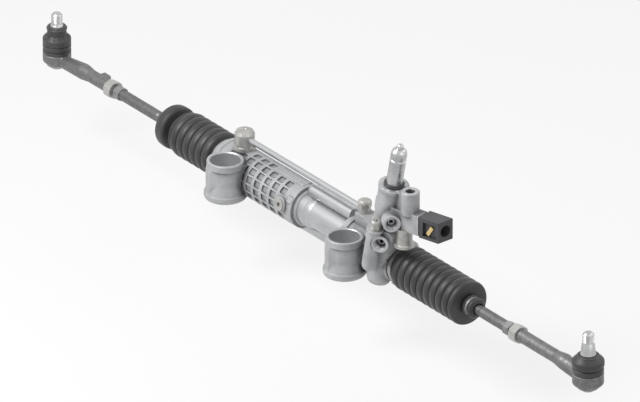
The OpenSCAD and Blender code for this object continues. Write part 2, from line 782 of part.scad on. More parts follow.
module yoke_spring() {
    turns = 2;
    wire_r = 1.1;
    sides = 8;
    steps = 20 * turns;
    y0 = yoke_front_y + yoke_len - 6 + wire_r;
    y1 = yoke_front_y + yoke_len + 0.3 - wire_r;
    coil_r = 9 - wire_r - 0.6;
    rings = [for (i = [0 : steps]) for (j = [0 : sides - 1])
        let (p = coil_point(i / steps, turns, coil_r, y1 - y0), a = 360 * turns * i / steps, b = 360 * j / sides)
        [p[0] + wire_r * cos(b) * cos(a), p[1] + wire_r * cos(b) * sin(a), p[2] + wire_r * sin(b)]];
    skin = [for (i = [0 : steps - 1]) for (j = [0 : sides - 1])
        [i * sides + j, i * sides + (j + 1) % sides, (i + 1) * sides + (j + 1) % sides, (i + 1) * sides + j]];
    first_end = [for (j = [sides - 1 : -1 : 0]) j];
    last_end = [for (j = [0 : sides - 1]) steps * sides + j];
    color("dimgray") on_rack() translate([pinion_x, y0, 0]) rotate([-90, 0, 0])
        polyhedron(points = rings, faces = concat(skin, [first_end, last_end]));
}

module yoke_plug() {
    color("darkgray") on_rack() translate([pinion_x, 0, 0]) rotate([-90, 0, 0]) difference() {
        union() {
            translate([0, 0, yoke_front_y + yoke_len + 0.3])
                cylinder(h = yoke_top - yoke_front_y - yoke_len - 0.3, r = yoke_r);
            translate([0, 0, yoke_top]) cylinder(h = 4, r = yoke_r + 3, $fn = 6);
        }
        translate([0, 0, yoke_top - 2]) cylinder(h = 8, r = 5, $fn = 6);
    }
}

// Pinion, valve and input shaft

function inv(a) = tan(a) - a * PI / 180;
function flank_angle(r) = let (a = acos(min(1, pinion_base_r / r)))
    180 / PI * (PI / (2 * pinion_teeth) - backlash / (4 * pinion_pitch_r) + inv(pressure_angle) - inv(a));
flank_steps = 5;
flank_r = concat([pinion_root_r],
    [for (i = [0 : flank_steps]) pinion_base_r + (pinion_tip_r - pinion_base_r) * i / flank_steps]);
function polar(r, a) = [r * cos(a), r * sin(a)];

// Involute pinion with one tooth pointing at the rack
module pinion_teeth_2d() {
    last = len(flank_r) - 1;
    polygon([for (k = [0 : pinion_teeth - 1])
        let (c = 90 + k * 360 / pinion_teeth)
        each concat(
            [for (i = [0 : last]) polar(flank_r[i], c - flank_angle(max(flank_r[i], pinion_base_r)))],
            [for (i = [last : -1 : 0]) polar(flank_r[i], c + flank_angle(max(flank_r[i], pinion_base_r)))])]);
}

module pinion() {
    color("silver") on_rack() on_pinion() difference() {
        union() {
            translate([0, 0, -face_w / 2]) linear_extrude(height = face_w) pinion_teeth_2d();
            translate([0, 0, cap_s + 4]) cylinder(h = -cap_s - 4 - face_w / 2 + e, r = 6);
            translate([0, 0, face_w / 2 - e]) cylinder(h = sleeve_s0 - 6 - face_w / 2 + e, r = 9);
            translate([0, 0, sleeve_s0 - 6]) cylinder(h = 5, r = 14);
        }
        translate([0, 0, 24]) cylinder(h = 60, r = 3);
    }
}

module valve_sleeve() {
    groove = 2.4;
    color("lightgray") on_rack() on_pinion() difference() {
        ring_z(sleeve_s0 - 1, sleeve_s0 - 1 + sleeve_len, sleeve_r, stem_r + run_gap);
        for (k = [1 : 3]) {
            ring_z(sleeve_s0 + k * 11, sleeve_s0 + k * 11 + groove, sleeve_r + 1, sleeve_r - 1.2);
        }
    }
}

module input_shaft() {
    groove_s = shaft_top_s - 17;
    color("silver") on_rack() on_pinion() difference() {
        spin_z([[3, sleeve_s0], [stem_r, sleeve_s0], [stem_r, shoulder_s], [input_r, shoulder_s], [input_r, groove_s], [input_r - 0.9, groove_s + 0.8],
            [input_r - 0.9, groove_s + 4], [input_r, groove_s + 4.8], [input_r, shaft_top_s - 8],
            [input_r - 1, shaft_top_s - 4], [input_r - 3.5, shaft_top_s - 1], [input_r - 5, shaft_top_s],
            [3, shaft_top_s]]);
    }
}

module torsion_bar() {
    thin_r = 2.4;
    color("gray") on_rack() on_pinion() union() {
        spin_z([[0, 24], [3, 24], [3, 36], [thin_r, 39], [thin_r, shaft_top_s - 24],
            [3, shaft_top_s - 21], [3, shaft_top_s], [4.5, shaft_top_s], [4.5, shaft_top_s + 3],
            [4, shaft_top_s + 5], [2.6, shaft_top_s + 6.4], [0, shaft_top_s + 7]]);
    }
}

module pinion_bearing() {
    color("gray") on_rack() on_pinion() ring_z(-bearing_s - 6, -bearing_s, 12, 6 + run_gap);
}

module middle_bearing() {
    color("gray") on_rack() on_pinion() ring_z(shelf_s, shelf_s + 9, 17, 9 + run_gap);
}

module upper_bearing() {
    color("gray") on_rack() on_pinion() ring_z(valve_top_s - 24, valve_top_s - 9, 16, stem_r + run_gap);
}

module shaft_seal() {
    color("dimgray") on_rack() on_pinion()
        ring_z(valve_top_s - 9, valve_top_s + seal_lip, seal_r, stem_r + run_gap);
}

module bearing_cap() {
    color("darkgray") on_rack() on_pinion() difference() {
        union() {
            translate([0, 0, cap_s]) cylinder(h = 3, r = 12);
            translate([0, 0, cap_s - 2]) cylinder(h = 4, r = foot_r - 1.5);
        }
        translate([0, 0, cap_s - 3]) cylinder(h = 4, r = 6, $fn = 6);
    }
}

// Bellows

fold_points = 8;

// Outer profile of the folds between two places, as [radius, x] points
function folds(x0, x1, count, r_out, depth) = [for (i = [0 : count * fold_points])
    let (t = i / fold_points) [r_out - depth / 2 + depth / 2 * sin(360 * t - 90), x0 + (x1 - x0) * t / count]];
function inwards(profile, t) = [for (i = [len(profile) - 1 : -1 : 0]) [profile[i][0] - t, profile[i][1]]];

right_fold_x0 = gear_case_end_x + 13;
right_fold_x1 = inner_x + 12;
right_cuff_x = inner_x + 25;
cuff_r = 11;
neck_r = 6.4;

module right_bellows() {
    outer = concat(
        [[spigot_r + rubber_t, gear_case_end_x + 1], [spigot_r + rubber_t, right_fold_x0 - 3]],
        folds(right_fold_x0, right_fold_x1, right_folds, bellows_r, fold_depth),
        [[bellows_r - 3, right_fold_x1 + 3], [bellows_r - 1, right_fold_x1 + 6],
        [bellows_r - 2.4, right_fold_x1 + 9], [bellows_r - 6.5, right_fold_x1 + 12],
        [cuff_r + 3, right_cuff_x - 1.5], [cuff_r, right_cuff_x], [cuff_r, right_cuff_x + 8],
        [cuff_r + 3.6, right_cuff_x + 9], [cuff_r + 3.6, right_cuff_x + 13], [cuff_r, right_cuff_x + 15]]);
    inner = concat([[neck_r + run_gap, right_cuff_x + 15], [neck_r + run_gap, right_cuff_x]],
        [for (i = [len(outer) - 8 : -1 : 2]) [outer[i][0] - rubber_t, outer[i][1] - (i > len(outer) - 11 ? 1 : 0)]],
        [[spigot_r, right_fold_x0 - 3], [spigot_r, gear_case_end_x + 1]]);
    color("#2b2b2b") on_rack() spin_x(concat(outer, inner));
}

left_fold_x0 = case_end_x + 13;
left_fold_x1 = inner_x - 16;
collar_r = 25.5;

module left_bellows() {
    cuff_x = inner_x + 17;
    outer = concat(
        [[spigot_r + rubber_t, case_end_x + 1], [spigot_r + rubber_t, left_fold_x0 - 2]],
        folds(left_fold_x0, left_fold_x1, left_folds, bellows_r, fold_depth),
        [[21.5, left_fold_x1 + 3], [21.5, left_fold_x1 + 8], [collar_r - 1, left_fold_x1 + 10],
        [collar_r, left_fold_x1 + 13], [collar_r, cuff_x - 5], [collar_r - 2.4, cuff_x - 1.5], [15, cuff_x],
        [cuff_r, cuff_x + 2], [cuff_r, cuff_x + 12]]);
    inner = concat([[neck_r + run_gap, cuff_x + 12], [neck_r + run_gap, cuff_x + 1], [15, cuff_x - 2],
        [collar_r - 3.4, cuff_x - 4], [collar_r - 1.6, cuff_x - 6], [collar_r - 1.6, left_fold_x1 + 13],
        [21.5 - rubber_t, left_fold_x1 + 9]],
        [for (i = [len(outer) - 9 : -1 : 2]) [outer[i][0] - rubber_t, outer[i][1]]],
        [[spigot_r, left_fold_x0 - 2], [spigot_r, case_end_x + 1]]);
    color("#2b2b2b") on_rack() far_side() spin_x(concat(outer, inner));
}

module band(x0, x1, r) {
    ring_x(x0, x1, r + 1.2, r);
    difference() {
        translate([x0, -6, 0]) cube([x1 - x0, 12, r + 3.4]);
        translate([x0 - 1, -7, 0]) cube([x1 - x0 + 2, 14, r * 0.8]);
        rod_x(x0 - 1, x1 + 1, r);
        translate([x0 - 1, -2, r + 1.6]) cube([x1 - x0 + 2, 4, 2]);
    }
}

module right_bellows_clamps() {
    color("lightgray") on_rack() translate([0, 0, 0]) rotate([150, 0, 0])
        band(gear_case_end_x + 2.5, gear_case_end_x + 8.5, clamp_r);
}

module left_bellows_clamps() {
    color("lightgray") on_rack() far_side() rotate([200, 0, 0])
        band(case_end_x + 2.5, case_end_x + 8.5, clamp_r);
}

module right_cuff_clamp() {
    color("lightgray") on_rack() ring_x(right_cuff_x + 2, right_cuff_x + 6, cuff_r + 1.6, cuff_r + run_gap);
}

// Tie rods, drawn for the pinion side from the inner ball at x = 0

socket_back = 28;
socket_front = 7;
rack_thread = 13;
rack_thread_r = 8;
mouth_r = 12;

module inner_socket() {
    difference() {
        union() {
            rod_x(-socket_back + 6, socket_front, socket_r);
            hex_x(-socket_back, -socket_back + 8, 2 * socket_r - 4, rack_thread_r);
        }
        sphere(r = ball_r + seat_t);
        rod_x(0, 3, ball_r + seat_t);
        translate([2.9, 0, 0]) rotate([0, 90, 0])
            cylinder(h = socket_front - 2.9 + e, r1 = ball_r + 1, r2 = mouth_r + 1.2);
        rod_x(-socket_back - 1, -socket_back + rack_thread, rack_thread_r);
    }
}

module inner_seat() {
    rotate([0, 90, 0]) rotate_extrude() intersection() {
        difference() {
            circle(r = ball_r + seat_t);
            circle(r = ball_r + run_gap);
        }
        translate([0, -8]) square([20, 11]);
    }
}

module tie_rod(len_to_shank, cone_x, thread_end) {
    flats = len_to_shank - nut_len - 4;
    spin_x(concat(
        [for (a = [180 : -10 : 40]) [ball_r * sin(a), ball_r * cos(a)]],
        [[neck_r, ball_r * 0.86], [neck_r, cone_x], [rod_r, cone_x + 3], [rod_r, flats],
        [6.8, flats + 1], [6.8, thread_end - 1.5], [5.6, thread_end], [0, thread_end]]));
    hex_x(flats - 12, flats, 17, 5);
}

module lock_nut(x0) {
    hex_x(x0 - nut_len, x0, nut_af, 6.8);
}

outer_reach = outer_x - inner_x;
seat_low = ball_r + 0.4;

// Rod end with its forged neck, drawn at the inner ball's frame
module rod_end(head_r, shank, neck_len, head_top, head_low) {
    head_x = outer_reach;
    x0 = head_x - shank;
    difference() {
        union() {
            rod_x(x0, head_x - neck_len + 6, shank_d / 2);
            hull() {
                translate([head_x - neck_len, 0, 0]) rotate([0, 90, 0]) cylinder(h = 2, r = shank_d / 2, $fn = 32);
                translate([head_x - neck_len + 16, 0, 0]) rotate([0, 90, 0]) cylinder(h = 2, r = 11, $fn = 32);
            }
            hull() {
                translate([head_x - neck_len + 16, 0, 0]) rotate([0, 90, 0]) cylinder(h = 2, r = 11, $fn = 32);
                translate([head_x - head_r * 0.6, 0, head_low + 9]) rotate([0, 90, 0])
                    cylinder(h = 2, r = 8.5, $fn = 32);
                translate([head_x - head_r * 0.6, 0, head_top - 12]) rotate([0, 90, 0])
                    cylinder(h = 2, r = 6, $fn = 32);
            }
            translate([head_x, 0, 0]) spin_z([[0, head_low], [head_r - 7, head_low], [head_r, head_low + 7],
                [head_r, head_top - 6], [head_r - 2, head_top - 5], [head_r - 2, head_top - 2],
                [head_r - 3, head_top], [0, head_top]]);
        }
        rod_x(x0 - 1, x0 + 40, 6.8);
        translate([head_x, 0, 0]) ring_z(head_top - 5, head_top + 20, head_r + 1.2, head_r - 2);
        translate([head_x, 0, 0]) {
            sphere(r = ball_r + seat_t);
            translate([0, 0, -30]) cylinder(h = 30, r = ball_r + seat_t);
            cylinder(h = head_top + 1, r1 = ball_r - 1, r2 = ball_r + 3);
        }
    }
}

module outer_seat() {
    translate([outer_reach, 0, 0]) difference() {
        union() {
            sphere(r = ball_r + seat_t);
            translate([0, 0, -seat_low]) cylinder(h = seat_low, r = ball_r + seat_t);
        }
        sphere(r = ball_r + run_gap);
        translate([-20, -20, 3]) cube([40, 40, 20]);
        translate([-20, -20, -seat_low - 20]) cube([40, 40, 20]);
        translate([0, 0, -seat_low - 1]) cylinder(h = seat_low, r = ball_r - 3);
    }
}

module end_cap(head_low) {
    translate([outer_reach, 0, 0]) difference() {
        spin_z([[0, head_low - 4], [8, head_low - 4], [10, head_low], [ball_r + seat_t, head_low],
            [ball_r + seat_t, -seat_low], [0, -seat_low]]);
        sphere(r = ball_r + run_gap);
    }
}

// Dust boot between the rod end and the stud
module joint_boot(head_r, head_top, neck_z, boot_neck_r) {
    stud_gap_r = stud_base_r + run_gap;
    translate([outer_reach, 0, 0]) spin_z([
        [head_r - 2, head_top - 5], [head_r - 2, head_top - 2], [head_r - 3, head_top], [head_r - 5, head_top],
        [head_r - 3.4, head_top + 6], [head_r - 6, head_top + 11], [stud_gap_r, neck_z - 6],
        [stud_gap_r, neck_z], [boot_neck_r, neck_z], [boot_neck_r, neck_z - 4],
        [head_r - 3, head_top + 14], [head_r + 0.8, head_top + 8], [head_r + 0.8, head_top - 1],
        [head_r, head_top - 5]]);
}

stud_base_z = 24;
stud_top_z = 63;
stud_base_r = 8.2;
stud_thread_r = 7.6;
stud_thread_z = 48;

// Ball stud with its seat cone, from cone_r at cone_z up to the thread
module ball_stud(cone_z, cone_r) {
    translate([outer_reach, 0, 0]) spin_z(concat(
        [for (a = [180 : -10 : 50]) [ball_r * sin(a), ball_r * cos(a)]],
        [[6, ball_r * 0.86], [6, 14], [stud_base_r, stud_base_z - 4], [stud_base_r, cone_z],
        [cone_r, cone_z], [cone_r - 0.3, cone_z + 1.5], [stud_thread_r + 0.5, stud_thread_z - 1.5],
        [stud_thread_r, stud_thread_z], [stud_thread_r, stud_top_z - 4], [stud_thread_r - 1.4, stud_top_z - 1.8],
        [stud_thread_r - 3.6, stud_top_z - 0.4], [0, stud_top_z]]));
}

module boot_ring(neck_z, r) {
    translate([outer_reach, 0, 0]) ring_z(neck_z - 3.4, neck_z - 0.6, r + 2.4, r + run_gap);
}

module on_inner() {
    on_rack() translate([inner_x, 0, 0]) children();
}

module on_inner_far() {
    on_rack() far_side() translate([inner_x, 0, 0]) children();
}

head_top = 11;
left_low = -13;
right_low = -16;
left_neck_z = 42;
right_neck_z = 31;
left_neck_r = 12.6;
right_neck_r = 10.8;

module left_inner_socket() { color("darkgray") on_inner_far() inner_socket(); }
module right_inner_socket() { color("darkgray") on_inner() inner_socket(); }
module left_inner_seat() { color("ivory") on_inner_far() inner_seat(); }
module right_inner_seat() { color("ivory") on_inner() inner_seat(); }
module left_tie_rod() {
    color("gray") on_inner_far() tie_rod(outer_reach - left_shank, 40, outer_reach - left_shank + 38);
}
module right_tie_rod() {
    color("gray") on_inner() tie_rod(outer_reach - right_shank, 48, outer_reach - right_shank + 38);
}
module left_lock_nut() { color("lightgray") on_inner_far() lock_nut(outer_reach - left_shank); }
module right_lock_nut() { color("lightgray") on_inner() lock_nut(outer_reach - right_shank); }
module left_rod_end() {
    color("gray") on_inner_far() {
        rod_end(left_head_d / 2, left_shank, 78, head_top, left_low);
        difference() {
            translate([outer_reach - left_shank + 14, shank_d / 2 - 4, -7]) cube([14, 8, 14]);
            rod_x(outer_reach - left_shank, outer_reach - left_shank + 40, 6.8);
        }
    }
}
module right_rod_end() {
    color("gray") on_inner() rod_end(right_head_d / 2, right_shank, 66, head_top, right_low);
}
module left_outer_seat() { color("ivory") on_inner_far() outer_seat(); }
module right_outer_seat() { color("ivory") on_inner() outer_seat(); }
module left_end_cap() { color("darkgray") on_inner_far() end_cap(left_low); }
module right_end_cap() { color("darkgray") on_inner() end_cap(right_low); }
module left_joint_boot() {
    color("#2b2b2b") on_inner_far() joint_boot(left_head_d / 2, head_top, left_neck_z, left_neck_r);
}
module right_joint_boot() {
    color("#2b2b2b") on_inner() joint_boot(right_head_d / 2, head_top, right_neck_z, right_neck_r);
}
module left_boot_ring() { color("silver") on_inner_far() boot_ring(left_neck_z, left_neck_r); }
module right_boot_ring() { color("silver") on_inner() boot_ring(right_neck_z, right_neck_r); }
module left_ball_stud() { color("silver") on_inner_far() ball_stud(left_neck_z + 0.3, 9.4); }
module right_ball_stud() { color("silver") on_inner() ball_stud(right_neck_z + 0.3, 10.4); }

left_housing();
gear_housing();
valve_housing();
cylinder_tube();
cylinder_gland();
upper_feed_tube();
lower_feed_tube();
transfer_pipe();
transfer_union();
banjo_bolt();
port_plug();
pressure_screw();
left_bush();
right_bush();
left_rack_seal();
inner_rack_seal();
rack_bar();
piston();
piston_ring();
yoke();
yoke_spring();
yoke_plug();
pinion();
valve_sleeve();
input_shaft();
torsion_bar();
pinion_bearing();
middle_bearing();
upper_bearing();
shaft_seal();
bearing_cap();
valve_bolts();
solenoid_body();
connector_shell();
connector_pins();
left_bellows();
right_bellows();
left_bellows_clamps();
right_bellows_clamps();
right_cuff_clamp();
left_inner_socket();
right_inner_socket();
left_inner_seat();
right_inner_seat();
left_tie_rod();
right_tie_rod();
left_lock_nut();
right_lock_nut();
left_rod_end();
right_rod_end();
left_outer_seat();
right_outer_seat();
left_end_cap();
right_end_cap();
left_joint_boot();
right_joint_boot();
left_boot_ring();
right_boot_ring();
left_ball_stud();
right_ball_stud();
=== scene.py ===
"""Steering rack with tie rods: finishes, castings, bellows, boots, studs, light and camera.

Places on the object are given in millimetres from the middle of the rack, and at() turns them
into the row frame, which is in metres. Outlines of turned pieces are [along, radius] pairs in
millimetres. Colours are linear.
"""
import json
import math

import bmesh
import bpy
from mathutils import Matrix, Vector

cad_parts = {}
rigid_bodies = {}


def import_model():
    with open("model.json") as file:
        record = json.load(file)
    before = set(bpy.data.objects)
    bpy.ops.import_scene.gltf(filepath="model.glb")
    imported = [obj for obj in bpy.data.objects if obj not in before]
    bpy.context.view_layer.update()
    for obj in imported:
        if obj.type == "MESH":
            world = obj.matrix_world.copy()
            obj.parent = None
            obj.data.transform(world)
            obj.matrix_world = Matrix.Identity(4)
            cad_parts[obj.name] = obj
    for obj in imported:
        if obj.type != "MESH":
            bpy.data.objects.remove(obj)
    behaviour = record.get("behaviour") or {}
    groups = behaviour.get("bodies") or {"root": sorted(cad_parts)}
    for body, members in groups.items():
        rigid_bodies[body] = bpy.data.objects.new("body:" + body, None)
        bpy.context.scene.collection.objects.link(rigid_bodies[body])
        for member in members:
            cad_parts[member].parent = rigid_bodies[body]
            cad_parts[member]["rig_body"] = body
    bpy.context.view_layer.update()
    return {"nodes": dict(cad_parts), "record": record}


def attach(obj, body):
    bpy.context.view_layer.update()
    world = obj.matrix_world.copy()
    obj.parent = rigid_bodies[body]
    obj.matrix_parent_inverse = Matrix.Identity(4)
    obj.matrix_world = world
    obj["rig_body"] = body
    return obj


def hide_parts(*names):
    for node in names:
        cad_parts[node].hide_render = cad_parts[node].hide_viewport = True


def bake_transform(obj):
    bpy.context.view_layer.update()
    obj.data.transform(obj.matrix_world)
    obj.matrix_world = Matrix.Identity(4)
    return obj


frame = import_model()
nodes = frame["nodes"]
scene = bpy.context.scene

MM = 0.001
SIGN = {"left": -1, "right": 1}
UPWARD = (0, 0, 1)
DOWNWARD = (0, 0, -1)

# The eyes that carry the rack. The row frame starts in the right one.
EYE_X = {"left": -148.0, "right": 112.0}
EYE_Y = -40.0
EYE_FOOT = {"left": -24.0, "right": -30.6}
EYE_HEIGHT = 54.0
EYE_BORE_R = 20.3
EYE_FACE_R = 21.3
EYE_TOP_R = 24.1
EYE_FOOT_R = 25.2

# The pinion crosses the rack at PINION and leans outwards.
PINION = (162.0, -17.8)
LEAN = math.radians(12.4)
LEAN_AXIS = Vector((math.sin(LEAN), 0, math.cos(LEAN)))

# The outer ball joints stand upright at this distance from the middle.
JOINT_X = 578.5


def at(x, y=0.0, z=0.0):
    """Row frame point of a place given in millimetres from the middle of the rack."""
    return Vector((x - EYE_X["right"], y - EYE_Y, z)) * MM


def up_pinion(s):
    """Row frame point on the pinion's axis, s millimetres up from the rack's axis."""
    return at(PINION[0] + s * math.sin(LEAN), PINION[1], s * math.cos(LEAN))


# Materials


def grey(value):
    return (value, value, value)


class Shader:
    """A node tree with short calls for the nodes that the finishes use."""

    def __init__(self, name, colour, metallic, roughness):
        self.material = bpy.data.materials.new(name)
        self.material.use_nodes = True
        self.tree = self.material.node_tree
        self.bsdf = self.tree.nodes["Principled BSDF"]
        self.bsdf.inputs["Base Color"].default_value = (*colour, 1)
        self.bsdf.inputs["Metallic"].default_value = metallic
        self.bsdf.inputs["Roughness"].default_value = roughness
        self.place = self.tree.nodes.new("ShaderNodeTexCoord").outputs["Object"]

    def link(self, a, b):
        self.tree.links.new(a, b)

    def stretched(self, scale):
        """Object coordinates scaled along each axis, for lines and rings."""
        mapping = self.tree.nodes.new("ShaderNodeMapping")
        mapping.inputs["Scale"].default_value = scale
        self.link(self.place, mapping.inputs["Vector"])
        return mapping.outputs["Vector"]

    def noise(self, scale, detail, rough, vector=None):
        node = self.tree.nodes.new("ShaderNodeTexNoise")
        node.inputs["Scale"].default_value = scale
        node.inputs["Detail"].default_value = detail
        node.inputs["Roughness"].default_value = rough
        self.link(vector or self.place, node.inputs["Vector"])
        return node.outputs["Fac"]

    def cells(self, scale):
        node = self.tree.nodes.new("ShaderNodeTexVoronoi")
        node.inputs["Scale"].default_value = scale
        self.link(self.place, node.inputs["Vector"])
        return node.outputs["Distance"]

    def pointiness(self):
        """Above a half on ridges, below it in grooves."""
        return self.tree.nodes.new("ShaderNodeNewGeometry").outputs["Pointiness"]

    def hollows(self, reach):
        """One in the open, less in corners and recesses narrower than reach, in metres."""
        node = self.tree.nodes.new("ShaderNodeAmbientOcclusion")
        node.samples = 8
        node.only_local = True
        node.inputs["Distance"].default_value = reach
        return node.outputs["AO"]

    def remap(self, value, low, high, to_low, to_high):
        node = self.tree.nodes.new("ShaderNodeMapRange")
        node.inputs["From Min"].default_value = low
        node.inputs["From Max"].default_value = high
        node.inputs["To Min"].default_value = to_low
        node.inputs["To Max"].default_value = to_high
        self.link(value, node.inputs["Value"])
        return node.outputs["Result"]

    def ramp(self, value, stops):
        """Colour ramp from (place, colour) stops, lowest place first."""
        node = self.tree.nodes.new("ShaderNodeValToRGB")
        marks = node.color_ramp.elements
        for index, (where, colour) in ((0, stops[0]), (1, stops[-1])):
            marks[index].position = where
            marks[index].color = (*colour, 1)
        for where, colour in stops[1:-1]:
            marks.new(where).color = (*colour, 1)
        self.link(value, node.inputs["Fac"])
        return node.outputs["Color"]

    def mix(self, a, b, share, kind="MIX"):
        node = self.tree.nodes.new("ShaderNodeMix")
        node.data_type = "RGBA"
        node.blend_type = kind
        self.link(a, node.inputs["A"])
        self.link(b, node.inputs["B"])
        node.inputs["Factor"].default_value = share
        return node.outputs["Result"]

    def times(self, a, b, share=1.0):
        """Colour a darkened or lightened by colour b."""
        return self.mix(a, b, share, "MULTIPLY")

    def add(self, a, b, share):
        """Value a plus a share of value b."""
        node = self.tree.nodes.new("ShaderNodeMath")
        node.operation = "MULTIPLY_ADD"
        self.link(b, node.inputs[0])
        node.inputs[1].default_value = share
        self.link(a, node.inputs[2])
        return node.outputs[0]

    def bump(self, height, depth, strength):
        node = self.tree.nodes.new("ShaderNodeBump")
        node.inputs["Strength"].default_value = strength
        node.inputs["Distance"].default_value = depth
        self.link(height, node.inputs["Height"])
        self.link(node.outputs["Normal"], self.bsdf.inputs["Normal"])

    def colour(self, socket):
        self.link(socket, self.bsdf.inputs["Base Color"])

    def rough(self, socket):
        self.link(socket, self.bsdf.inputs["Roughness"])


def cast_aluminium():
    """Blasted cast skin, mottled and grainy, lighter on its rubbed edges, with painted shade in
    its grooves and recesses.
    """
    s = Shader("cast_aluminium", (0.5, 0.505, 0.515), 0.15, 0.5)
    mottle = s.noise(55, 5, 0.6)
    grain = s.noise(1500, 3, 0.7)
    skin = s.ramp(mottle, [
        (0.32, (0.4, 0.405, 0.415)),
        (0.52, (0.48, 0.485, 0.493)),
        (0.72, (0.545, 0.55, 0.556)),
    ])
    speck = s.ramp(grain, [(0.36, grey(0.82)), (0.6, grey(1.0))])
    # Edges rubbed lighter by wear, and grooves darkened to 0.4 as painted shade.
    edge_wear_and_groove_shade = s.ramp(s.pointiness(), [(0.43, grey(0.4)), (0.49, grey(0.95)), (0.57, grey(1.12))])
    # Painted shade: ambient occlusion darkens the skin in corners and recesses, down to 0.18
    # where they are deepest.
    recess_shade = s.ramp(s.hollows(0.013), [
        (0.35, (0.18, 0.18, 0.19)),
        (0.78, (0.6, 0.6, 0.61)),
        (0.98, grey(1.0)),
    ])
    toned = s.times(skin, speck, 0.55)
    s.colour(s.times(s.times(toned, edge_wear_and_groove_shade, 0.95), recess_shade))
    s.rough(s.remap(mottle, 0.3, 0.7, 0.62, 0.48))
    s.bump(s.add(s.noise(420, 4, 0.6), grain, 0.45), 0.00035, 0.75)
    return s.material


def machined_aluminium():
    """Turned faces and bores, with their tool marks."""
    s = Shader("machined_aluminium", (0.5, 0.505, 0.515), 0.6, 0.42)
    turns = s.noise(700, 2, 0.5, s.stretched((0.15, 0.15, 2.6)))
    s.colour(s.ramp(turns, [(0.35, (0.44, 0.445, 0.455)), (0.65, (0.55, 0.555, 0.565))]))
    s.rough(s.remap(turns, 0.3, 0.7, 0.5, 0.4))
    s.bump(turns, 0.00005, 0.4)
    return s.material


def drawn_tube():
    """Tube steel, with its draw lines along the rack."""
    light = (0.56, 0.57, 0.58)
    dark = (0.4, 0.405, 0.41)
    s = Shader("drawn_tube", light, 0.9, 0.34)
    lines = s.noise(700, 4, 0.6, s.stretched((0.035, 1, 1)))
    cloud = s.noise(38, 4, 0.6)
    drawn = s.ramp(lines, [(0.3, dark), (0.7, light)])
    clouded = s.ramp(cloud, [(0.3, dark), (0.75, light)])
    s.colour(s.mix(drawn, clouded, 0.5))
    s.rough(s.remap(s.add(cloud, lines, 0.5), 0.5, 1.0, 0.44, 0.28))
    s.bump(lines, 0.00006, 0.7)
    return s.material


def ground_steel():
    """Ground shafts and studs."""
    s = Shader("ground_steel", (0.62, 0.625, 0.63), 0.95, 0.22)
    lines = s.noise(1600, 2, 0.5, s.stretched((0.4, 0.4, 2.5)))
    cloud = s.noise(60, 3, 0.5)
    tone = s.add(cloud, lines, 0.3)
    s.colour(s.ramp(tone, [(0.4, (0.38, 0.385, 0.39)), (0.85, (0.54, 0.54, 0.545))]))
    s.rough(s.remap(cloud, 0.3, 0.7, 0.34, 0.24))
    s.bump(lines, 0.00004, 0.6)
    return s.material


def plated_steel(name, light, dark):
    """Plated nuts, bolts, plugs and bands, dull and slightly cloudy."""
    s = Shader(name, light, 0.45, 0.34)
    cloud = s.noise(120, 4, 0.6)
    fine = s.noise(1100, 3, 0.6)
    s.colour(s.ramp(s.add(cloud, fine, 0.35), [(0.42, dark), (0.85, light)]))
    s.rough(s.remap(cloud, 0.3, 0.7, 0.44, 0.3))
    s.bump(fine, 0.00008, 0.6)
    return s.material


def forged_steel():
    """Forged skin with scale and pits, rubbed bright on its edges, with painted shade in its
    grooves.
    """
    s = Shader("forged_steel", (0.2, 0.2, 0.205), 0.65, 0.5)
    scale = s.noise(150, 6, 0.65)
    pits = s.cells(520)
    tone = s.ramp(scale, [
        (0.3, (0.14, 0.14, 0.143)),
        (0.55, (0.19, 0.19, 0.195)),
        (0.75, (0.24, 0.239, 0.237)),
    ])
    # Edges rubbed lighter by wear, and grooves darkened to 0.6 as painted shade.
    edge_wear_and_groove_shade = s.ramp(s.pointiness(), [(0.45, grey(0.6)), (0.5, grey(1.0)), (0.56, grey(1.5))])
    s.colour(s.times(tone, edge_wear_and_groove_shade, 0.85))
    s.rough(s.remap(scale, 0.3, 0.7, 0.6, 0.42))
    s.bump(s.add(scale, pits, 0.4), 0.00022, 0.6)
    return s.material


def phosphated_steel():
    """Dark bolts, springs and wire clips."""
    s = Shader("phosphated_steel", (0.1, 0.1, 0.103), 0.6, 0.45)
    fine = s.noise(900, 4, 0.6)
    s.colour(s.ramp(fine, [(0.3, (0.07, 0.07, 0.072)), (0.7, (0.15, 0.15, 0.152))]))
    s.rough(s.remap(fine, 0.3, 0.7, 0.52, 0.38))
    s.bump(fine, 0.0001, 0.6)
    return s.material


def black_rubber():
    """Rubber with a faint bloom, lighter on its crests, with painted shade darkening its folds
    and creases.
    """
    s = Shader("black_rubber", (0.028, 0.028, 0.03), 0.0, 0.5)
    bloom = s.noise(32, 5, 0.6)
    fine = s.noise(1300, 3, 0.6)
    base = s.ramp(bloom, [(0.35, (0.02, 0.02, 0.021)), (0.7, (0.045, 0.045, 0.047))])
    # Crests lighter, and fold grooves darkened to 0.5 as painted shade.
    crests = s.ramp(s.pointiness(), [
        (0.44, grey(0.5)),
        (0.5, grey(1.0)),
        (0.58, (1.7, 1.7, 1.72)),
    ])
    # Painted shade: ambient occlusion darkens the creases between folds and the rings of the
    # cuffs.
    crease_shade = s.ramp(s.hollows(0.006), [(0.3, grey(0.3)), (0.7, grey(0.75)), (0.97, grey(1.0))])
    s.colour(s.times(s.times(base, crests, 0.8), crease_shade))
    s.rough(s.remap(s.add(bloom, fine, 0.3), 0.4, 0.9, 0.58, 0.4))
    s.bump(s.add(fine, bloom, 0.5), 0.00012, 0.7)
    s.bsdf.inputs["Sheen Weight"].default_value = 0.08
    return s.material


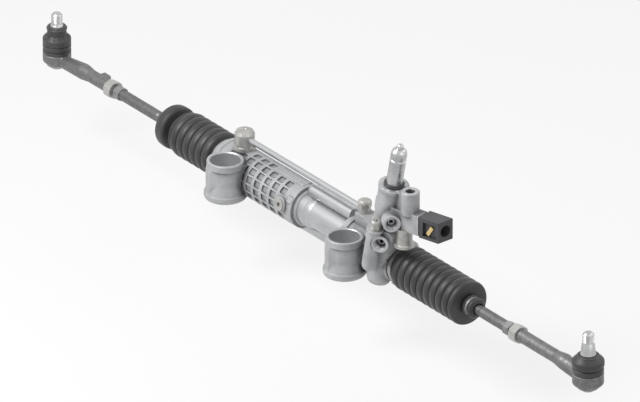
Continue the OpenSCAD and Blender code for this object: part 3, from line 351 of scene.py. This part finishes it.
def moulded_plastic(name, light, dark, roughness):
    """Plastic with the fine grain of its mould."""
    s = Shader(name, light, 0.0, roughness)
    fine = s.noise(1800, 2, 0.5)
    cloud = s.noise(45, 3, 0.5)
    s.colour(s.ramp(s.add(cloud, fine, 0.3), [(0.4, dark), (0.9, light)]))
    s.rough(s.remap(fine, 0.3, 0.7, roughness + 0.06, roughness - 0.04))
    s.bump(fine, 0.00008, 0.7)
    return s.material


def contact_brass():
    s = Shader("contact_brass", (0.78, 0.6, 0.28), 0.95, 0.28)
    cloud = s.noise(400, 3, 0.5)
    s.colour(s.ramp(cloud, [(0.35, (0.62, 0.46, 0.2)), (0.7, (0.83, 0.66, 0.34))]))
    s.bump(cloud, 0.00004, 0.5)
    return s.material


# One finish for each material slot of the record, and machined aluminium for turned places.
FINISH = {
    "cast_aluminium": cast_aluminium(),
    "machined_aluminium": machined_aluminium(),
    "steel_tube": drawn_tube(),
    "bright_steel": ground_steel(),
    "zinc_steel": plated_steel("zinc_plate", (0.5, 0.495, 0.475), (0.34, 0.335, 0.32)),
    "forged_steel": forged_steel(),
    "dark_steel": phosphated_steel(),
    "clamp_steel": plated_steel("clamp_steel", (0.47, 0.47, 0.475), (0.32, 0.32, 0.325)),
    "black_rubber": black_rubber(),
    "bearing_plastic": moulded_plastic(
        "bearing_plastic", (0.72, 0.69, 0.6), (0.6, 0.57, 0.49), 0.4),
    "connector_plastic": moulded_plastic(
        "connector_plastic", (0.075, 0.075, 0.08), (0.045, 0.045, 0.05), 0.42),
    "contact_brass": contact_brass(),
}

slot_of = {part["node"]: part["material_slot"] for part in frame["record"]["subparts"]}
for node_name, node_object in nodes.items():
    node_object.data.materials.clear()
    node_object.data.materials.append(FINISH[slot_of[node_name]])


# Turned pieces

SHARP_ANGLE = math.radians(35)


def new_piece(name, points, faces, finish):
    mesh = bpy.data.meshes.new(name)
    mesh.from_pydata([tuple(p) for p in points], [], faces)
    cleaner = bmesh.new()
    cleaner.from_mesh(mesh)
    bmesh.ops.recalc_face_normals(cleaner, faces=cleaner.faces)
    cleaner.to_mesh(mesh)
    cleaner.free()
    mesh.shade_smooth()
    mesh.set_sharp_from_angle(angle=SHARP_ANGLE)
    mesh.materials.append(FINISH[finish])
    obj = bpy.data.objects.new(name, mesh)
    scene.collection.objects.link(obj)
    return obj


def directions(axis):
    """An axis at unit length and two directions square to it."""
    axis = Vector(axis).normalized()
    first = axis.cross(Vector((0, 1, 0)))
    if first.length < 0.1:
        first = axis.cross(Vector((0, 0, 1)))
    first.normalize()
    return axis, first, axis.cross(first)


def rings(outline, origin, axis, sides, ripple):
    """Points of a turned piece, ring by ring.

    ripple(along, radius, angle) may give another radius, for threads and notches.
    """
    axis, u, v = directions(axis)
    points = []
    for along, radius in outline:
        for k in range(sides):
            angle = math.tau * k / sides
            r = ripple(along, radius, angle) if ripple else radius
            spoke = u * math.cos(angle) + v * math.sin(angle)
            points.append(Vector(origin) + (axis * along + spoke * r) * MM)
    return points


def lathe(name, outline, origin, axis, finish, sides=128, ripple=None):
    """Closed body of revolution whose outline runs round its section."""
    rows = len(outline)
    faces = []
    for i in range(rows):
        a = i * sides
        b = (i + 1) % rows * sides
        for k in range(sides):
            n = (k + 1) % sides
            faces.append((a + k, a + n, b + n, b + k))
    return new_piece(name, rings(outline, origin, axis, sides, ripple), faces, finish)


def lathe_solid(name, outline, origin, axis, finish, sides=96, ripple=None):
    """Body of revolution whose outline starts and ends on the axis."""
    way = Vector(axis).normalized()
    bottom = Vector(origin) + way * outline[0][0] * MM
    top = Vector(origin) + way * outline[-1][0] * MM
    points = [bottom] + rings(outline[1:-1], origin, axis, sides, ripple) + [top]
    last = len(points) - 1
    rows = len(outline) - 2
    faces = []
    for k in range(sides):
        n = (k + 1) % sides
        faces.append((0, 1 + n, 1 + k))
        faces.append((last, last - sides + k, last - sides + n))
        for i in range(rows - 1):
            a = 1 + i * sides
            b = a + sides
            faces.append((a + k, a + n, b + n, b + k))
    return new_piece(name, points, faces, finish)


def arc(centre, radius, start, end, steps):
    """Points [along, radius] on a circle of the section, angles in degrees from the axis."""
    made = []
    for i in range(steps + 1):
        angle = math.radians(start + (end - start) * i / steps)
        made.append((centre[0] + radius * math.cos(angle), centre[1] + radius * math.sin(angle)))
    return made


def riding(piece, body):
    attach(piece, body)


def bending(piece, node):
    """A rubber skin that stands for a node: the node is hidden and the skin's place is baked
    into its mesh.
    """
    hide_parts(node)
    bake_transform(piece)


# Castings and forgings, with the fillets and the soft edges that their solids lack


def softened(node, voxel, passes):
    """A node's solid remeshed at a voxel size in millimetres and relaxed, in its place."""
    mesh = nodes[node].data.copy()
    welder = bmesh.new()
    welder.from_mesh(mesh)
    bmesh.ops.remove_doubles(welder, verts=welder.verts, dist=1e-6)
    welder.to_mesh(mesh)
    welder.free()
    obj = bpy.data.objects.new(node + "_skin", mesh)
    scene.collection.objects.link(obj)
    remesh = obj.modifiers.new("remesh", "REMESH")
    remesh.mode = "VOXEL"
    remesh.voxel_size = voxel * MM
    remesh.use_smooth_shade = True
    relax = obj.modifiers.new("relax", "SMOOTH")
    relax.factor = 0.5
    relax.iterations = passes
    graph = bpy.context.evaluated_depsgraph_get()
    result = bpy.data.meshes.new_from_object(obj.evaluated_get(graph))
    obj.modifiers.clear()
    obj.data = result
    result.materials.clear()
    result.materials.append(FINISH[slot_of[node]])
    result.shade_smooth()
    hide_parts(node)
    riding(obj, nodes[node]["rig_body"])


for casting in ("left_housing", "gear_housing", "valve_housing"):
    softened(casting, voxel=0.6, passes=1)
for forging in ("left_rod_end", "right_rod_end"):
    softened(forging, voxel=0.7, passes=4)


# Machined places on the castings

FACE_DEPTH = 0.7
FACE_EDGE = 0.02
FACE_PROUD = 0.14
FACE_BEVEL = 0.12
PITCH = 1.5
PORT_THREAD_R = 7.1
PORT_THREAD_STEP = 0.25
PORT_THREAD_DEPTH = 0.75


def turned(name, outline, origin, axis, sides=128, ripple=None):
    """A machined surface of the housing."""
    piece = lathe(name, outline, origin, axis, "machined_aluminium", sides, ripple)
    riding(piece, "housing")


def machined_ring(name, origin, axis, r_in, r_out):
    """Turned face that stands a hair proud of the cast skin."""
    turned(name, [
        (-FACE_DEPTH, r_in),
        (FACE_EDGE, r_in),
        (FACE_PROUD, r_in + FACE_BEVEL),
        (FACE_PROUD, r_out - FACE_BEVEL),
        (FACE_EDGE, r_out),
        (-FACE_DEPTH, r_out),
    ], origin, axis)


def bore_liner(name, origin, r, low, top):
    """Turned wall of an upright bore, between two heights, with its chamfered mouths."""
    turned(name, [
        (low, r + 0.9),
        (low + 1, r - 0.1),
        (top - 1, r - 0.1),
        (top, r + 0.9),
        (top - 1.2, r + 0.3),
        (low + 1.2, r + 0.3),
    ], origin, UPWARD, sides=160)


def thread(start, depth, crest):
    """Radius rule that cuts a thread from start on into the rings whose radius is crest.

    A negative depth cuts outwards, as in a bore. The other rings stay as they are.
    """
    def rule(along, radius, angle):
        if radius != crest:
            return radius
        phase = ((along - start) / PITCH - angle / math.tau) % 1.0
        return radius - depth * (1 - abs(2 * phase - 1))
    return rule


def threaded_port(name, root, axis, reach, deep):
    """Turned face, thread and raised cone seat of a hose port, whose mouth is reach away."""
    origin = root + axis * reach * MM
    machined_ring(name + "_face", origin, axis, r_in=8.5, r_out=11.5)
    floor_level = -deep + 3
    rows = int((deep - 4) / PORT_THREAD_STEP)
    wall = [(floor_level + i * PORT_THREAD_STEP, PORT_THREAD_R) for i in range(rows)]
    top = wall[-1][0]
    back = [(top + 0.6, 8.1), (-0.1, 8.6), (-0.4, 8.9), (top - 0.2, 8.6), (floor_level, 8.6)]
    turned(name + "_thread", wall + back, origin, axis, sides=96,
           ripple=thread(0, -PORT_THREAD_DEPTH, PORT_THREAD_R))
    turned(name + "_seat", [
        (-deep + 0.1, 7.9),
        (-deep + 1.2, 7.9),
        (-deep + 1.2, 6.6),
        (-deep + 3.6, 4.2),
        (-deep + 3.6, 2.8),
        (-deep + 0.1, 2.8),
    ], origin, axis)


def level(degrees):
    """Direction in the level plane, turned from the rack's axis."""
    turn = math.radians(degrees)
    return Vector((math.cos(turn), math.sin(turn), 0))


threaded_port("low_port", up_pinion(46), level(-51), reach=34, deep=13.6)
threaded_port("high_port", at(199, -31, 78.5), level(-28), reach=12, deep=11.6)
for side, foot in EYE_FOOT.items():
    eye = at(EYE_X[side], EYE_Y)
    top = foot + EYE_HEIGHT
    top_place = eye + Vector((0, 0, top)) * MM
    foot_place = eye + Vector((0, 0, foot)) * MM
    bore_liner(side + "_eye_bore", eye, EYE_BORE_R, foot, top)
    machined_ring(side + "_eye_top", top_place, UPWARD, EYE_FACE_R, EYE_TOP_R)
    machined_ring(side + "_eye_foot", foot_place, DOWNWARD, EYE_FACE_R, EYE_FOOT_R)
machined_ring("boss_top", at(220, -15, 124), UPWARD, r_in=6.5, r_out=11.6)
machined_ring("tower_top", up_pinion(125), LEAN_AXIS, r_in=13.6, r_out=19.0)


# Bellows

RUBBER = 1.4
FOLD_DEPTH = 4.2
FOLD_STEPS = 24
CREST_FLATNESS = 0.42
SPIGOT_R = 23.5


def folds(x0, x1, count, crest_r):
    """Broad flat crests with narrow grooves."""
    made = []
    for i in range(count * FOLD_STEPS + 1):
        t = i / FOLD_STEPS
        crest = abs(math.sin(math.pi * t)) ** CREST_FLATNESS
        made.append((x0 + (x1 - x0) * t / count, crest_r - FOLD_DEPTH * (1 - crest)))
    return made


def shell(outline):
    """Section of a rubber skin: the outline, then the same line further in, backwards."""
    inner = []
    for i, (x, r) in enumerate(outline):
        x0, r0 = outline[max(i - 1, 0)]
        x1, r1 = outline[min(i + 1, len(outline) - 1)]
        length = math.hypot(x1 - x0, r1 - r0) or 1.0
        inner.append((x + (r1 - r0) / length * RUBBER, r - (x1 - x0) / length * RUBBER))
    return outline + inner[::-1]


def bellows(side, cuff_outline, spigot_end, fold_start, fold_end, count, crest_r):
    """Folds that stretch between the housing and the rack, and the end on the tie rod."""
    sign = SIGN[side]
    axis = (sign, 0, 0)
    node = side + "_bellows"
    start = [
        (spigot_end, SPIGOT_R + RUBBER),
        (fold_start - 3.2, SPIGOT_R + RUBBER),
        (fold_start - 1.6, SPIGOT_R + RUBBER + 0.3),
    ]
    sleeve_outline = start + folds(fold_start, fold_end, count, crest_r)
    sleeve = lathe(node + "_folds", shell(sleeve_outline), at(0), axis, "black_rubber")
    bending(sleeve, node)
    cuff_outline = [(fold_end, crest_r - FOLD_DEPTH)] + cuff_outline
    cuff = lathe(node + "_cuff", shell(cuff_outline), at(0), axis, "black_rubber")
    bending(cuff, node)


# The last fold bulges over the end wall, then a neck ring, the clamp's groove and a bead.
RIGHT_CUFF = [
    *arc((322.0, 25.2), 5.1, 172, 45, 8),
    (326.4, 25.0), (326.8, 20.0), (327.1, 15.0), (327.2, 12.6), (327.8, 12.3), (328.2, 13.2),
    (329.0, 13.7), (331.2, 13.7), (332.3, 12.8), (332.8, 10.9), (337.2, 10.9),
    *arc((341.4, 10.0), 3.9, 160, 20, 8),
    (345.4, 10.2), (346, 9.4), (346, 8.0),
]
# A slope down to the neck, then a broad collar and the end wall.
LEFT_CUFF = [
    (287.2, 28.6), (288.2, 29.3), (289.4, 29.1), (291.6, 27.4), (295.4, 23.9), (298.6, 20.9),
    (300.4, 19.6), (302.0, 19.5), (302.8, 21.0), (303.8, 24.2),
    *arc((308.4, 25.4), 4.3, 165, 90, 5),
    (315, 29.6),
    *arc((316.8, 24.2), 5.3, 90, 15, 6),
    (323.0, 17.0), (325, 11.6), (335, 11.0),
]
bellows("right", RIGHT_CUFF, spigot_end=184.0, fold_start=196.0, fold_end=316.8, count=9,
        crest_r=30.3)
bellows("left", LEFT_CUFF, spigot_end=193.0, fold_start=205.0, fold_end=286.2, count=6,
        crest_r=31.2)


# Joint boots and their clips

CLIP_TURNS = 2


def joint_boot(side, outline, ripple=None):
    """Boot of a ball joint, turned about the upright axis of its joint from [height, radius]
    pairs.
    """
    place = SIGN[side] * JOINT_X
    boot = lathe(side + "_boot_skin", outline, at(place), UPWARD, "black_rubber", ripple=ripple)
    bending(boot, side + "_joint_boot")


def notched(along, radius, angle):
    """Eight notches round the shoulder of the left boot."""
    if 27.9 < along < 31.6 and radius > 13.5:
        return radius - 0.9 * max(0.0, min(1.0, 3.2 * math.cos(8 * angle) - 1.2))
    return radius


joint_boot("right", [
    (6.2, 20.4), (12.2, 20.4), (13.2, 19.2), (14.2, 19.3), (15.2, 20.5), (16.8, 21.15),
    (20.2, 21.2), (22.8, 20.9), (24.3, 20.0), (25.0, 19.0), (27.2, 17.0), (29.4, 14.2),
    (30.6, 12.2), (31, 10.9), (31, 8.4),
    (25, 8.4), (22, 12.0), (20, 14.5), (17, 16.5), (12, 15.5), (8, 17.6), (6.2, 18.2),
])
joint_boot("left", [
    (6.2, 19.0), (9.6, 18.9), (10.6, 17.6), (11.6, 18.8), (17.0, 19.0), (18.0, 17.8),
    (19.0, 18.9), (25.6, 19.0), (26.8, 18.7), (27.6, 18.1), (28.2, 17.5), (29.6, 15.9),
    (31.2, 14.2), (32.0, 13.3), (33.2, 13.0), (42.0, 13.0), (43.4, 12.3), (44.2, 11.0),
    (44.2, 9.7), (42.1, 9.7), (41.9, 8.4),
    (36, 8.4), (30, 10.4), (24, 14.4), (18, 16.5), (12, 16.6), (6.2, 16.8),
], ripple=notched)


def wire_clip(side, z, r, wire):
    """Spring clip of round wire that holds the neck of a joint boot."""
    outline = [(z, r - 0.3)]
    for i in range(CLIP_TURNS):
        outline += arc((z + wire * (i + 0.5), r + wire * 0.35), wire / 2, 180, 0, 8)
    outline += [(z + wire * CLIP_TURNS, r - 0.3)]
    clip = lathe(side + "_boot_clip", outline, at(SIGN[side] * JOINT_X), UPWARD, "dark_steel")
    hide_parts(side + "_boot_ring")
    riding(clip, side + "_boot_ring")


wire_clip("left", z=39.8, r=12.95, wire=1.0)
wire_clip("right", z=28.0, r=13.6, wire=1.2)


# Threaded studs

BALL_R = 11.0
STUD_CREST_R = 7.62
STUD_THREAD = (49.0, 59.4)
STUD_THREAD_STEP = 0.18
STUD_THREAD_DEPTH = 0.8


def stud(side, cone_z, cone_r):
    """Ball, neck, seat cone and thread of a ball stud, from the bottom up."""
    start, end = STUD_THREAD
    outline = [(-BALL_R, 0.0)]
    for degrees in range(6, 132, 6):
        angle = math.radians(degrees)
        outline.append((-BALL_R * math.cos(angle), BALL_R * math.sin(angle)))
    outline += [
        (8.6, 6.2), (14, 6.0), (20, 8.2), (cone_z, 8.2), (cone_z + 0.02, cone_r - 0.4),
        (cone_z + 0.5, cone_r), (cone_z + 1.5, cone_r - 0.25), (46.0, 8.25), (46.8, 7.5),
        (start - 0.6, 7.1),
    ]
    rows = int((end - start) / STUD_THREAD_STEP)
    outline += [(start + STUD_THREAD_STEP * i, STUD_CREST_R) for i in range(rows)]
    outline += [(end + 0.3, 7.5), (61.0, 6.3), (62.4, 5.0), (62.9, 3.6), (63.0, 0.0)]
    piece = lathe_solid(side + "_stud_thread", outline, at(SIGN[side] * JOINT_X), UPWARD,
                        "bright_steel", ripple=thread(start, STUD_THREAD_DEPTH, STUD_CREST_R))
    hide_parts(side + "_ball_stud")
    riding(piece, side + "_ball_stud")


stud("left", cone_z=42.3, cone_r=9.4)
stud("right", cone_z=31.3, cone_r=10.4)


# Camera: a long lens far away, since the drawing is a parallel view

VIEW_WIDTH = 0.832
LENS = 1000.0
SENSOR = 36.0
TOWARD = Vector((0.7172, -0.5331, 0.4478)).normalized()
UP = (Vector((0, 0, 1)) - TOWARD * TOWARD.z).normalized()
RIGHT = UP.cross(TOWARD)
aim = Vector((-0.112, 0.040, 0)) + RIGHT * 0.0029 + UP * 0.0151


def placed(obj, place, direction):
    """Puts a camera or a lamp at a place, looking back along a direction."""
    obj.location = place
    obj.rotation_mode = "QUATERNION"
    obj.rotation_quaternion = direction.to_track_quat("Z", "Y")
    scene.collection.objects.link(obj)


camera_data = bpy.data.cameras.new("camera")
camera_data.lens = LENS
camera_data.sensor_width = SENSOR
camera_data.clip_start = 1.0
camera_data.clip_end = 200.0
camera = bpy.data.objects.new("camera", camera_data)
placed(camera, aim + TOWARD * (VIEW_WIDTH * LENS / SENSOR), TOWARD)
scene.camera = camera


# Backdrop and floor

FLOOR_Z = -0.135
FLOOR_HALF = 4.0
FLOOR_WHITE = 0.8
AMBIENT = 0.24


def white_where_seen(tree, white_share, shader):
    """Mixes plain white over a shader where the camera or a reflection sees it."""
    path = tree.nodes.new("ShaderNodeLightPath")
    seen = path.outputs["Is Camera Ray"]
    for ray in ("Is Glossy Ray", "Is Transmission Ray"):
        most = tree.nodes.new("ShaderNodeMath")
        most.operation = "MAXIMUM"
        tree.links.new(seen, most.inputs[0])
        tree.links.new(path.outputs[ray], most.inputs[1])
        seen = most.outputs[0]
    share = tree.nodes.new("ShaderNodeMath")
    share.operation = "MULTIPLY"
    tree.links.new(seen, share.inputs[0])
    share.inputs[1].default_value = white_share
    white = tree.nodes.new("ShaderNodeEmission")
    mixer = tree.nodes.new("ShaderNodeMixShader")
    tree.links.new(share.outputs[0], mixer.inputs["Fac"])
    tree.links.new(shader, mixer.inputs[1])
    tree.links.new(white.outputs[0], mixer.inputs[2])
    return mixer.outputs[0]


world = bpy.data.worlds.new("studio")
scene.world = world
world.use_nodes = True
world_tree = world.node_tree
ambient = world_tree.nodes["Background"]
ambient.inputs["Color"].default_value = (1, 1, 1, 1)
ambient.inputs["Strength"].default_value = AMBIENT
world_tree.links.new(white_where_seen(world_tree, 1.0, ambient.outputs[0]),
                     world_tree.nodes["World Output"].inputs["Surface"])

floor_material = bpy.data.materials.new("pale_floor")
floor_material.use_nodes = True
floor_tree = floor_material.node_tree
floor_shader = floor_tree.nodes["Principled BSDF"]
floor_shader.inputs["Base Color"].default_value = (*grey(0.9), 1)
floor_shader.inputs["Roughness"].default_value = 0.9
floor_tree.links.new(white_where_seen(floor_tree, FLOOR_WHITE, floor_shader.outputs[0]),
                     floor_tree.nodes["Material Output"].inputs["Surface"])

corners = [
    (-FLOOR_HALF, -FLOOR_HALF, FLOOR_Z),
    (FLOOR_HALF, -FLOOR_HALF, FLOOR_Z),
    (FLOOR_HALF, FLOOR_HALF, FLOOR_Z),
    (-FLOOR_HALF, FLOOR_HALF, FLOOR_Z),
]
floor_mesh = bpy.data.meshes.new("floor")
floor_mesh.from_pydata(corners, [], [(0, 1, 2, 3)])
floor_mesh.materials.append(floor_material)
floor = bpy.data.objects.new("floor", floor_mesh)
scene.collection.objects.link(floor)


# Lamps


def lamp(name, direction, distance, size, power):
    """Square soft light that looks at the object from a direction and distance in metres."""
    data = bpy.data.lights.new(name, "AREA")
    data.shape = "SQUARE"
    data.size = size
    data.energy = power
    direction = direction.normalized()
    placed(bpy.data.objects.new(name, data), aim + direction * distance, direction)


lamp("key", TOWARD * 0.35 - RIGHT * 0.9 + Vector((0, 0, 0.95)), distance=1.9, size=0.8, power=30)
lamp("fill", TOWARD * 0.9 + RIGHT * 0.8 + Vector((0, 0, 0.3)), distance=2.2, size=1.6, power=6)
lamp("rim", -TOWARD * 0.3 + RIGHT * 1.0 + Vector((0, 0, 0.9)), distance=2.0, size=1.0, power=5)

scene.view_settings.view_transform = "Standard"
